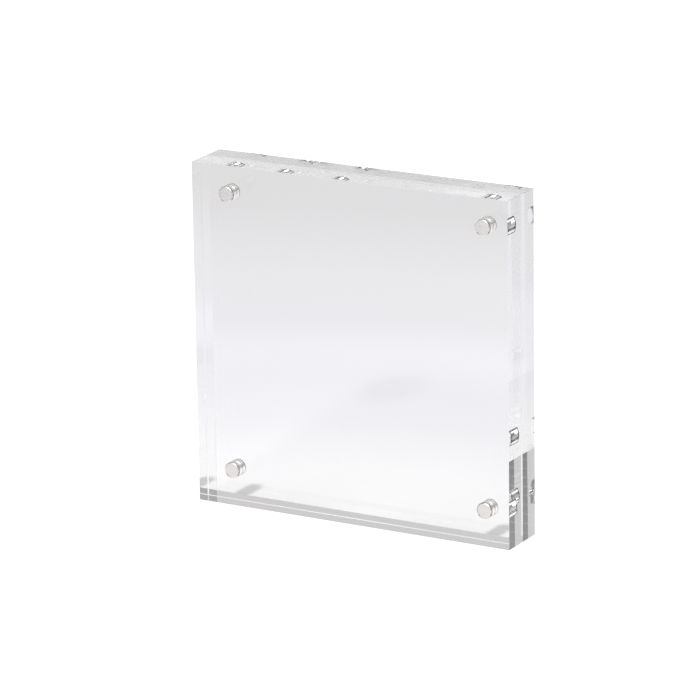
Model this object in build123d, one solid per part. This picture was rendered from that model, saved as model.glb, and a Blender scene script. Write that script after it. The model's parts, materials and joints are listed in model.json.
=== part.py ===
from build123d import *
import os

# Acrylic block frame: two clear square blocks, held face to face by a pair of disc magnets in each corner.
# It stands on its lower edges. The origin is in the middle of the footprint, +Z is up and the front looks
# towards -Y. The blocks part at y = 0, where the magnets of each pair meet. All lengths are in millimetres.

# Blocks, each cut from clear sheet and polished
BLOCK_WIDTH = 127.0
BLOCK_HEIGHT = 127.0
BLOCK_THICKNESS = 9.4
EDGE_BEVEL = 0.04

# Disc magnets, one of each pair in either block
MAGNET_DIAMETER = 6.0
MAGNET_LENGTH = 4.0
MAGNET_BEVEL = 0.4
MAGNET_INSET = 11.8  # from the sides of the block to the axis of the magnet

# Fits. The magnets stand proud and meet, which keeps the blocks apart and leaves a slot for the print.
MAGNET_PROUD = 0.45
POCKET_CLEARANCE = 0.05  # around the magnet
BOND_THICKNESS = 0.05  # between the magnet and the floor of its pocket

# The corners as the viewer sees them: the sides of the block in X and in Z that a magnet lies towards
CORNERS = {
    "top_left": (-1, 1),
    "top_right": (1, 1),
    "bottom_left": (-1, -1),
    "bottom_right": (1, -1),
}


def magnet_seat(side_x, side_z):
    """Where a magnet's axis meets the parting plane, with local Z pointing back into the rear block."""
    reach_x = BLOCK_WIDTH / 2 - MAGNET_INSET
    reach_z = BLOCK_HEIGHT / 2 - MAGNET_INSET
    centre = (side_x * reach_x, 0, BLOCK_HEIGHT / 2 + side_z * reach_z)
    return Plane(origin=centre, x_dir=(1, 0, 0), z_dir=(0, 1, 0))


def make_magnet():
    """A plated disc with bevelled rims, standing on its meeting face."""
    disc = Cylinder(MAGNET_DIAMETER / 2, MAGNET_LENGTH, align=(Align.CENTER, Align.CENTER, Align.MIN))
    rims = disc.edges().filter_by(GeomType.CIRCLE)
    return chamfer(rims, MAGNET_BEVEL)


def make_pocket():
    """The room for a magnet: a bore from the parting plane, bevelled round its floor like the magnet."""
    radius = MAGNET_DIAMETER / 2 + POCKET_CLEARANCE
    reach = MAGNET_LENGTH + BOND_THICKNESS
    bore = Cylinder(radius, reach, align=(Align.CENTER, Align.CENTER, Align.MIN))
    floor_rim = bore.edges().filter_by(GeomType.CIRCLE).sort_by(Axis.Z)[-1]
    return chamfer(floor_rim, MAGNET_BEVEL)


def make_rear_block():
    """The block behind the parting plane, bevelled all round, with a magnet pocket in each corner."""
    slab = Box(BLOCK_WIDTH, BLOCK_THICKNESS, BLOCK_HEIGHT, align=(Align.CENTER, Align.MIN, Align.MIN))
    block = Pos(0, MAGNET_PROUD, 0) * chamfer(slab.edges(), EDGE_BEVEL)
    for sides in CORNERS.values():
        block -= magnet_seat(*sides) * make_pocket()
    return block


# The front half is the mirror image of the rear half.
rear_half = {"block": make_rear_block()}
for corner, sides in CORNERS.items():
    rear_half["magnet_" + corner] = magnet_seat(*sides) * make_magnet()

os.makedirs("parts", exist_ok=True)
for piece, solid in rear_half.items():
    export_step(solid, f"parts/rear_{piece}.step")
    export_step(mirror(solid, about=Plane.XZ), f"parts/front_{piece}.step")
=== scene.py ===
import json
import math

import bmesh
import bpy
from mathutils import Matrix, Vector


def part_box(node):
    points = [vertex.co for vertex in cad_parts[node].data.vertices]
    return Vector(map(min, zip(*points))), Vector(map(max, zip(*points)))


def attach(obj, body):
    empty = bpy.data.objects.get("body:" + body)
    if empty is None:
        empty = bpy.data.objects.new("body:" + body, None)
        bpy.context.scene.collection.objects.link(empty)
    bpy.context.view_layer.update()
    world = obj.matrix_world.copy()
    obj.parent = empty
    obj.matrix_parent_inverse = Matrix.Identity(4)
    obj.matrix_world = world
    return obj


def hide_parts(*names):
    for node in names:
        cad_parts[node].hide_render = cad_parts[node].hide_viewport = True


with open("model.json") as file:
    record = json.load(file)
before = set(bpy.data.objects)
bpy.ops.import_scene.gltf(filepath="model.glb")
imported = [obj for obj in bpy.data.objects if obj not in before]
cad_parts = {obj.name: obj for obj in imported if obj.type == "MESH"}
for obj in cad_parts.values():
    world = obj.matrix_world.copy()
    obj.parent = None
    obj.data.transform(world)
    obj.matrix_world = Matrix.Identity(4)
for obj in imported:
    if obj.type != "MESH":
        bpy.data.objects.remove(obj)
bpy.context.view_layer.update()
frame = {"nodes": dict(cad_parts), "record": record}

# Lengths are in metres, angles in degrees and the scales of noise per metre.
# An azimuth counts from straight in front of the object to its right.

# Camera, fitted to the corners of the blocks in a 700 x 700 picture
CAMERA_AZIMUTH = 29.563
CAMERA_ELEVATION = 16.499
CAMERA_ROLL = -0.883
CAMERA_DISTANCE = 1.696
CAMERA_LENS_MM = 246.34
SENSOR_MM = 36.0
LOOK_RIGHT = 0.00032  # the point of the front face that the camera looks at
LOOK_UP = 0.06518

# Values that the materials share
WHITE = (1.0, 1.0, 1.0, 1.0)
NOISE_DETAIL = 2.0
NOISE_RANGE = (0.3, 0.7)  # where most of a noise's values lie

# Clear acrylic
ACRYLIC_IOR = 1.49
ACRYLIC_TINT = (0.62, 0.64, 0.645, 1.0)
ACRYLIC_DENSITY = 1.0
PASSING_TINT = (0.968, 0.968, 0.97, 1.0)  # what a face leaves of light that passes straight through
WAVE_SCALE = 80.0
WAVE_DEPTH = 0.000001
HAZE_SCALE = 45.0
HAZE_DETAIL = 4.0
HAZE_ROUGHNESS = (0.0, 0.001)

# Nickel plating: the darker and the lighter colour of its mottle, and its lowest and highest roughness
PLATINGS = {
    "satin": ((0.75, 0.727, 0.70, 1.0), (0.79, 0.767, 0.74, 1.0), (0.38, 0.46)),
    # The rims' plating is lighter than the satin: a painted highlight on the rounded rims.
    "rim": ((0.79, 0.765, 0.735, 1.0), (0.85, 0.825, 0.80, 1.0), (0.24, 0.32)),
    # The plating under the ring of bond is near black: painted shade, which darkens the arcs round each
    # magnet.
    "bonded": ((0.10, 0.097, 0.094, 1.0), (0.15, 0.145, 0.14, 1.0), (0.28, 0.38)),
}
NICKEL_MOTTLE_SCALE = 700.0
NICKEL_GRAIN_SCALE = 5000.0
NICKEL_GRAIN_DEPTH = 0.000001

# Magnets, each held in its pocket by a ring of clear bond round its side
POCKET_CLEARANCE = 0.00005  # as in the CAD model
BOND_START = 0.0005  # both ends of the ring, from the magnet's deep face
BOND_END = 0.0010
BOND_OVERLAP = 0.00001  # how far the ring reaches into the acrylic, so that no air is left there
RIM_RADIUS = 0.0004
RIM_STEPS = 6
MAGNET_SIDES = 96
SHARP_ANGLE = 40.0  # where faces meet at a greater angle, their edge is shaded sharp

# Table, with painted shade in its colour
FLOOR_RADIUS = 6.0
FLOOR_SIDES = 96
FLOOR_GAP = 0.0001  # between the table and the object
FLOOR_SIDEWAYS = 0.8  # how much a distance counts to the sides, to the back and to the front
FLOOR_BACKWARD = 1.0
FLOOR_FORWARD = 0.2
FLOOR_FALL = 0.42  # how far away the last stop is
# Painted shade: the stops grey the table's colour with distance from the object, and the stop at 0.50 is
# painted light where the lamp reaches the table past the blocks' shadow
FLOOR_PAINTED_SHADE_STOPS = (
    (0.0, (0.97, 0.963, 0.967, 1.0)),
    (0.05, (0.87, 0.862, 0.866, 1.0)),
    (0.14, (0.862, 0.854, 0.862, 1.0)),
    (0.28, (0.768, 0.761, 0.79, 1.0)),
    (0.40, (0.742, 0.736, 0.772, 1.0)),
    (0.50, (0.747, 0.741, 0.778, 1.0)),
    (0.60, (0.690, 0.687, 0.711, 1.0)),
    (0.75, (0.684, 0.681, 0.692, 1.0)),
    (1.0, (0.612, 0.607, 0.612, 1.0)),
)
FLOOR_PAINTED_UNDER = {"front_block": 1.08, "rear_block": 0.87}  # painted light under the front block and painted shade under the rear one, against 1 elsewhere
FLOOR_PAINTED_UNDER_EDGE = (0.9, 1.1)  # where that fades out, as a share of the way from a block's middle to its side

# Lamp
KEY_AZIMUTH = 6.0
KEY_ELEVATION = 37.5
KEY_SPREAD = 7.0
KEY_STRENGTH = 2.5

# Sky: an edge, a band and a glow above each other, with heights as the sine of the elevation
EDGE_COLOUR = (0.70, 0.70, 0.71, 1.0)
BAND_HEIGHTS = (0.05, 0.22)  # from the edge to the band
BAND_BRIGHTEST = (-0.49, 0.87, 0.0)  # the side on which the band is brightest, stop 1
BAND_STOPS = (
    (0.25, (0.18, 0.18, 0.18, 1.0)),
    (0.75, (0.42, 0.42, 0.42, 1.0)),
    (0.98, (0.66, 0.647, 0.656, 1.0)),
)
GLOW_HEIGHTS = (0.30, 0.46)  # from the band to the glow
GLOW_REACH = 0.6  # the cosine of the angle round the lamp within which the glow grows
GLOW_LEVELS = (0.55, 1.5)  # there and outside, and at the lamp
SKY_EVEN = (0.707, 0.707, 0.707, 1.0)  # the mean of it all, as it falls on the table

# Light paths, long enough for the many reflections inside the blocks
BOUNCES = {
    "max_bounces": 64,
    "glossy_bounces": 48,
    "transmission_bounces": 32,
    "transparent_max_bounces": 16,
}


def direction(azimuth, elevation):
    """The unit vector that points from the object to an azimuth and an elevation."""
    turn = math.radians(azimuth)
    rise = math.radians(elevation)
    return Vector((math.sin(turn) * math.cos(rise), -math.cos(turn) * math.cos(rise), math.sin(rise)))


def add_node(tree, kind, **settings):
    """A new shader node with the given properties set."""
    node = tree.nodes.new(kind)
    for name, value in settings.items():
        setattr(node, name, value)
    return node


def feed(tree, source, socket):
    """Links an input to another node's output, or gives it a plain value."""
    if isinstance(source, bpy.types.NodeSocket):
        tree.links.new(source, socket)
    else:
        socket.default_value = source


def add_noise(tree, scale, detail=NOISE_DETAIL):
    """Noise that stays with the object."""
    place = add_node(tree, "ShaderNodeTexCoord")
    noise = add_node(tree, "ShaderNodeTexNoise")
    noise.inputs["Scale"].default_value = scale
    noise.inputs["Detail"].default_value = detail
    tree.links.new(place.outputs["Object"], noise.inputs["Vector"])
    return noise.outputs["Fac"]


def add_bump(tree, height, depth):
    """The normal of a surface with relief of this depth."""
    bump = add_node(tree, "ShaderNodeBump")
    bump.inputs["Strength"].default_value = 1.0
    bump.inputs["Distance"].default_value = depth
    tree.links.new(height, bump.inputs["Height"])
    return bump.outputs["Normal"]


def add_map(tree, value, old_range, new_range=(0.0, 1.0), interpolation="LINEAR"):
    """The value moved from its old range to a new one, which it doesn't leave."""
    node = add_node(tree, "ShaderNodeMapRange", interpolation_type=interpolation)
    node.inputs["From Min"].default_value, node.inputs["From Max"].default_value = old_range
    node.inputs["To Min"].default_value, node.inputs["To Max"].default_value = new_range
    tree.links.new(value, node.inputs["Value"])
    return node.outputs["Result"]


def add_ramp(tree, value, stops):
    """The colour at a value from 0 to 1, between (position, colour) stops in rising order."""
    node = add_node(tree, "ShaderNodeValToRGB")
    elements = node.color_ramp.elements
    first, last = elements
    first.position, first.color = stops[0]
    last.position, last.color = stops[-1]
    for position, colour in stops[1:-1]:
        elements.new(position).color = colour
    tree.links.new(value, node.inputs["Fac"])
    return node.outputs["Color"]


def add_mix(tree, share, first, second):
    """A colour between the first, at share 0, and the second, at share 1."""
    mix = add_node(tree, "ShaderNodeMix", data_type="RGBA")
    feed(tree, share, mix.inputs["Factor"])
    feed(tree, first, mix.inputs["A"])
    feed(tree, second, mix.inputs["B"])
    return mix.outputs["Result"]


def add_vector_math(tree, operation, *vectors):
    """What a vector operation makes of these vectors."""
    node = add_node(tree, "ShaderNodeVectorMath", operation=operation)
    for vector, socket in zip(vectors, node.inputs):
        feed(tree, vector, socket)
    return node.outputs["Value" if operation in ("DOT_PRODUCT", "LENGTH") else "Vector"]


def new_material(name):
    """A material, its empty node tree and its output node."""
    material = bpy.data.materials.new(name)
    material.use_nodes = True
    material.node_tree.nodes.clear()
    output = add_node(material.node_tree, "ShaderNodeOutputMaterial")
    return material, material.node_tree, output


def acrylic_material():
    """Clear cast acrylic with polished faces, very slightly wavy and hazy."""
    material, tree, output = new_material("clear_acrylic")
    wave = add_noise(tree, WAVE_SCALE)
    haze = add_noise(tree, HAZE_SCALE, HAZE_DETAIL)
    shader = add_node(tree, "ShaderNodeBsdfPrincipled")
    shader.inputs["Base Color"].default_value = WHITE
    shader.inputs["Transmission Weight"].default_value = 1.0
    shader.inputs["IOR"].default_value = ACRYLIC_IOR
    tree.links.new(add_map(tree, haze, NOISE_RANGE, HAZE_ROUGHNESS), shader.inputs["Roughness"])
    tree.links.new(add_bump(tree, wave, WAVE_DEPTH), shader.inputs["Normal"])
    # Light from the lamp, and light that falls on the table, passes straight through
    path = add_node(tree, "ShaderNodeLightPath")
    clear = add_node(tree, "ShaderNodeBsdfTransparent")
    clear.inputs["Color"].default_value = PASSING_TINT
    surface = shader.outputs["BSDF"]
    for ray in ("Is Diffuse Ray", "Is Shadow Ray"):
        passing = add_node(tree, "ShaderNodeMixShader")
        tree.links.new(path.outputs[ray], passing.inputs[0])
        tree.links.new(surface, passing.inputs[1])
        tree.links.new(clear.outputs["BSDF"], passing.inputs[2])
        surface = passing.outputs["Shader"]
    tree.links.new(surface, output.inputs["Surface"])
    volume = add_node(tree, "ShaderNodeVolumeAbsorption")
    volume.inputs["Color"].default_value = ACRYLIC_TINT
    volume.inputs["Density"].default_value = ACRYLIC_DENSITY
    tree.links.new(volume.outputs["Volume"], output.inputs["Volume"])
    return material


def nickel_material(name, dark, light, roughness):
    """Nickel plating, faintly mottled and grained."""
    material, tree, output = new_material(name)
    mottle = add_noise(tree, NICKEL_MOTTLE_SCALE)
    grain = add_noise(tree, NICKEL_GRAIN_SCALE)
    shader = add_node(tree, "ShaderNodeBsdfPrincipled")
    shader.inputs["Metallic"].default_value = 1.0
    tree.links.new(add_mix(tree, mottle, dark, light), shader.inputs["Base Color"])
    tree.links.new(add_map(tree, mottle, NOISE_RANGE, roughness), shader.inputs["Roughness"])
    tree.links.new(add_bump(tree, grain, NICKEL_GRAIN_DEPTH), shader.inputs["Normal"])
    tree.links.new(shader.outputs["BSDF"], output.inputs["Surface"])
    return material


def floor_material():
    """A table painted with shade that greys it towards the back, and with light and shade under the blocks,
    in what the blocks show; plain white for the camera.
    """
    material, tree, output = new_material("white_table")
    place = add_node(tree, "ShaderNodeNewGeometry").outputs["Position"]
    # Distance from the object, which counts in full only towards the back
    right_or_back = add_vector_math(tree, "MULTIPLY", place, (FLOOR_SIDEWAYS, FLOOR_BACKWARD, 0.0))
    left_or_front = add_vector_math(tree, "MULTIPLY", place, (-FLOOR_SIDEWAYS, -FLOOR_FORWARD, 0.0))
    counted = add_vector_math(tree, "MAXIMUM", right_or_back, left_or_front)
    distance = add_vector_math(tree, "LENGTH", counted)
    colour = add_ramp(tree, add_map(tree, distance, (0.0, FLOOR_FALL)), FLOOR_PAINTED_SHADE_STOPS)
    # Painted light on the table under the front block, for the light that the block gathers, and painted
    # shade under the rear one, which the lamp reaches through both blocks
    for block, level in FLOOR_PAINTED_UNDER.items():
        low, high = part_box(block)
        centred = add_vector_math(tree, "SUBTRACT", place, (low + high) / 2)
        scaled = add_vector_math(tree, "DIVIDE", centred, (high - low) / 2)
        split = add_node(tree, "ShaderNodeSeparateXYZ")
        tree.links.new(add_vector_math(tree, "ABSOLUTE", scaled), split.inputs["Vector"])
        outward = add_node(tree, "ShaderNodeMath", operation="MAXIMUM")
        tree.links.new(split.outputs["X"], outward.inputs[0])
        tree.links.new(split.outputs["Y"], outward.inputs[1])
        under = add_map(tree, outward.outputs["Value"], FLOOR_PAINTED_UNDER_EDGE, (level, 1.0))
        colour = add_vector_math(tree, "MULTIPLY", colour, under)
    path = add_node(tree, "ShaderNodeLightPath")
    shader = add_node(tree, "ShaderNodeBsdfDiffuse")
    tree.links.new(add_mix(tree, path.outputs["Is Camera Ray"], colour, WHITE), shader.inputs["Color"])
    tree.links.new(shader.outputs["BSDF"], output.inputs["Surface"])
    return material


def make_floor():
    """A round table top under the object."""
    bpy.ops.mesh.primitive_circle_add(
        vertices=FLOOR_SIDES, radius=FLOOR_RADIUS, fill_type="NGON", location=(0, 0, -FLOOR_GAP)
    )
    floor = bpy.context.object
    floor.name = "floor"
    floor.data.materials.append(floor_material())


def make_world():
    """A sky that is graded in what the blocks show, even for the table and white for the camera."""
    world = bpy.data.worlds.new("studio")
    bpy.context.scene.world = world
    world.use_nodes = True
    # An even sky that isn't sampled as a lamp puts no noise on the table
    world.cycles.sampling_method = "NONE"
    tree = world.node_tree
    tree.nodes.clear()
    toward = add_node(tree, "ShaderNodeTexCoord").outputs["Generated"]
    split = add_node(tree, "ShaderNodeSeparateXYZ")
    tree.links.new(toward, split.inputs["Vector"])
    # A band that is darker on one side
    side = add_vector_math(tree, "DOT_PRODUCT", toward, BAND_BRIGHTEST)
    band = add_ramp(tree, add_map(tree, side, (-1.0, 1.0)), BAND_STOPS)
    # A wide glow round the lamp
    facing = add_vector_math(tree, "DOT_PRODUCT", toward, direction(KEY_AZIMUTH, KEY_ELEVATION))
    glow = add_map(tree, facing, (GLOW_REACH, 1.0), GLOW_LEVELS)
    sky = EDGE_COLOUR
    for heights, layer in ((BAND_HEIGHTS, band), (GLOW_HEIGHTS, glow)):
        share = add_map(tree, split.outputs["Z"], heights, interpolation="SMOOTHSTEP")
        sky = add_mix(tree, share, sky, layer)
    path = add_node(tree, "ShaderNodeLightPath")
    even = add_mix(tree, path.outputs["Is Diffuse Ray"], sky, SKY_EVEN)
    seen = add_mix(tree, path.outputs["Is Camera Ray"], even, WHITE)
    light = add_node(tree, "ShaderNodeBackground")
    tree.links.new(seen, light.inputs["Color"])
    output = add_node(tree, "ShaderNodeOutputWorld")
    tree.links.new(light.outputs["Background"], output.inputs["Surface"])


def make_key():
    """A far lamp in front, above the camera, that doesn't show through the acrylic."""
    towards = direction(KEY_AZIMUTH, KEY_ELEVATION)
    data = bpy.data.lights.new("key", "SUN")
    data.angle = math.radians(KEY_SPREAD)
    data.energy = KEY_STRENGTH
    key = bpy.data.objects.new("key", data)
    key.visible_transmission = False
    bpy.context.scene.collection.objects.link(key)
    key.matrix_world = (-towards).to_track_quat("-Z", "Y").to_matrix().to_4x4()


def make_camera():
    """A long lens that looks at a point near the middle of the front face."""
    back = direction(CAMERA_AZIMUTH, CAMERA_ELEVATION)
    target = Vector((LOOK_RIGHT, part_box("front_block")[0].y, LOOK_UP))
    data = bpy.data.cameras.new("camera")
    data.lens = CAMERA_LENS_MM
    data.sensor_width = SENSOR_MM
    camera = bpy.data.objects.new("camera", data)
    bpy.context.scene.collection.objects.link(camera)
    turn = (-back).to_track_quat("-Z", "Y").to_matrix().to_4x4()
    roll = Matrix.Rotation(math.radians(CAMERA_ROLL), 4, "Z")
    camera.matrix_world = Matrix.Translation(target + CAMERA_DISTANCE * back) @ turn @ roll
    bpy.context.scene.camera = camera


def rim_arc(across, along, start, end):
    """Points (across, along) of a rim's arc round this centre, from one angle to another."""
    points = []
    for step in range(RIM_STEPS + 1):
        angle = math.radians(start + (end - start) * step / RIM_STEPS)
        points.append((across + RIM_RADIUS * math.cos(angle), along + RIM_RADIUS * math.sin(angle)))
    return points


def magnet_outline(radius, length):
    """Points (across, along) from the middle of a magnet's deep face to the middle of its meeting face."""
    bonded = radius + POCKET_CLEARANCE + BOND_OVERLAP
    flat = radius - RIM_RADIUS
    outline = [(0.0, 0.0)]
    outline += rim_arc(flat, RIM_RADIUS, -90, 0)
    outline += [(radius, BOND_START), (bonded, BOND_START), (bonded, BOND_END), (radius, BOND_END)]
    outline += rim_arc(flat, length - RIM_RADIUS, 0, 90)
    outline += [(0.0, length)]
    return outline


def outline_platings():
    """The plating of each stretch of a magnet's outline: face, rim, side, bonded ring, side, rim and face."""
    rim = ["rim"] * RIM_STEPS
    ring = ["bonded"] * 3  # its outside and both its ends, plated near black as painted shade
    return ["satin"] + rim + ["satin"] + ring + ["satin"] + rim + ["satin"]


def add_circle(mesh, centre, radius):
    """Vertices round a point of a magnet's axis, all of them one vertex where the radius is 0."""
    if radius == 0.0:
        return [mesh.verts.new(centre)] * MAGNET_SIDES
    circle = []
    for step in range(MAGNET_SIDES):
        angle = 2 * math.pi * step / MAGNET_SIDES
        circle.append(mesh.verts.new(centre + radius * Vector((math.cos(angle), 0.0, math.sin(angle)))))
    return circle


def make_magnet(node, body, platings):
    """A plated magnet with rounded rims. Where the bond wets it, it reaches into the acrylic by a hair."""
    low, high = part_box(node)
    deep = high.y if body == "rear" else low.y
    inward = -1 if body == "rear" else 1
    mesh = bmesh.new()
    circles = []
    for across, along in magnet_outline((high.x - low.x) / 2, high.y - low.y):
        centre = Vector(((low.x + high.x) / 2, deep + inward * along, (low.z + high.z) / 2))
        circles.append(add_circle(mesh, centre, across))
    for near, far, plating in zip(circles, circles[1:], outline_platings()):
        for step in range(MAGNET_SIDES):
            after = (step + 1) % MAGNET_SIDES
            # In the middle of a face, two of the four corners are the same vertex, which counts once
            corners = dict.fromkeys((near[step], near[after], far[after], far[step]))
            face = mesh.faces.new(corners)
            face.smooth = True
            face.material_index = list(platings).index(plating)
    bmesh.ops.recalc_face_normals(mesh, faces=mesh.faces)
    for edge in mesh.edges:
        edge.smooth = edge.calc_face_angle() < math.radians(SHARP_ANGLE)
    data = bpy.data.meshes.new(node + "_plated")
    mesh.to_mesh(data)
    mesh.free()
    for material in platings.values():
        data.materials.append(material)
    magnet = bpy.data.objects.new(data.name, data)
    bpy.context.scene.collection.objects.link(magnet)
    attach(magnet, body)
    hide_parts(node)


acrylic = acrylic_material()
nickel = {kind: nickel_material(kind + "_nickel", *look) for kind, look in PLATINGS.items()}
for name, node in frame["nodes"].items():
    node.data.materials.clear()
    node.data.materials.append(nickel["satin"] if "magnet" in name else acrylic)
for body, names in frame["record"]["behaviour"]["bodies"].items():
    for name in names:
        if "magnet" in name:
            make_magnet(name, body, nickel)

make_floor()
make_world()
make_key()
make_camera()

scene = bpy.context.scene
scene.view_settings.view_transform = "Standard"
for name, count in BOUNCES.items():
    setattr(scene.cycles, name, count)
# The blocks' images of the magnets stay sharp, however many bounces away they are
scene.cycles.blur_glossy = 0.0
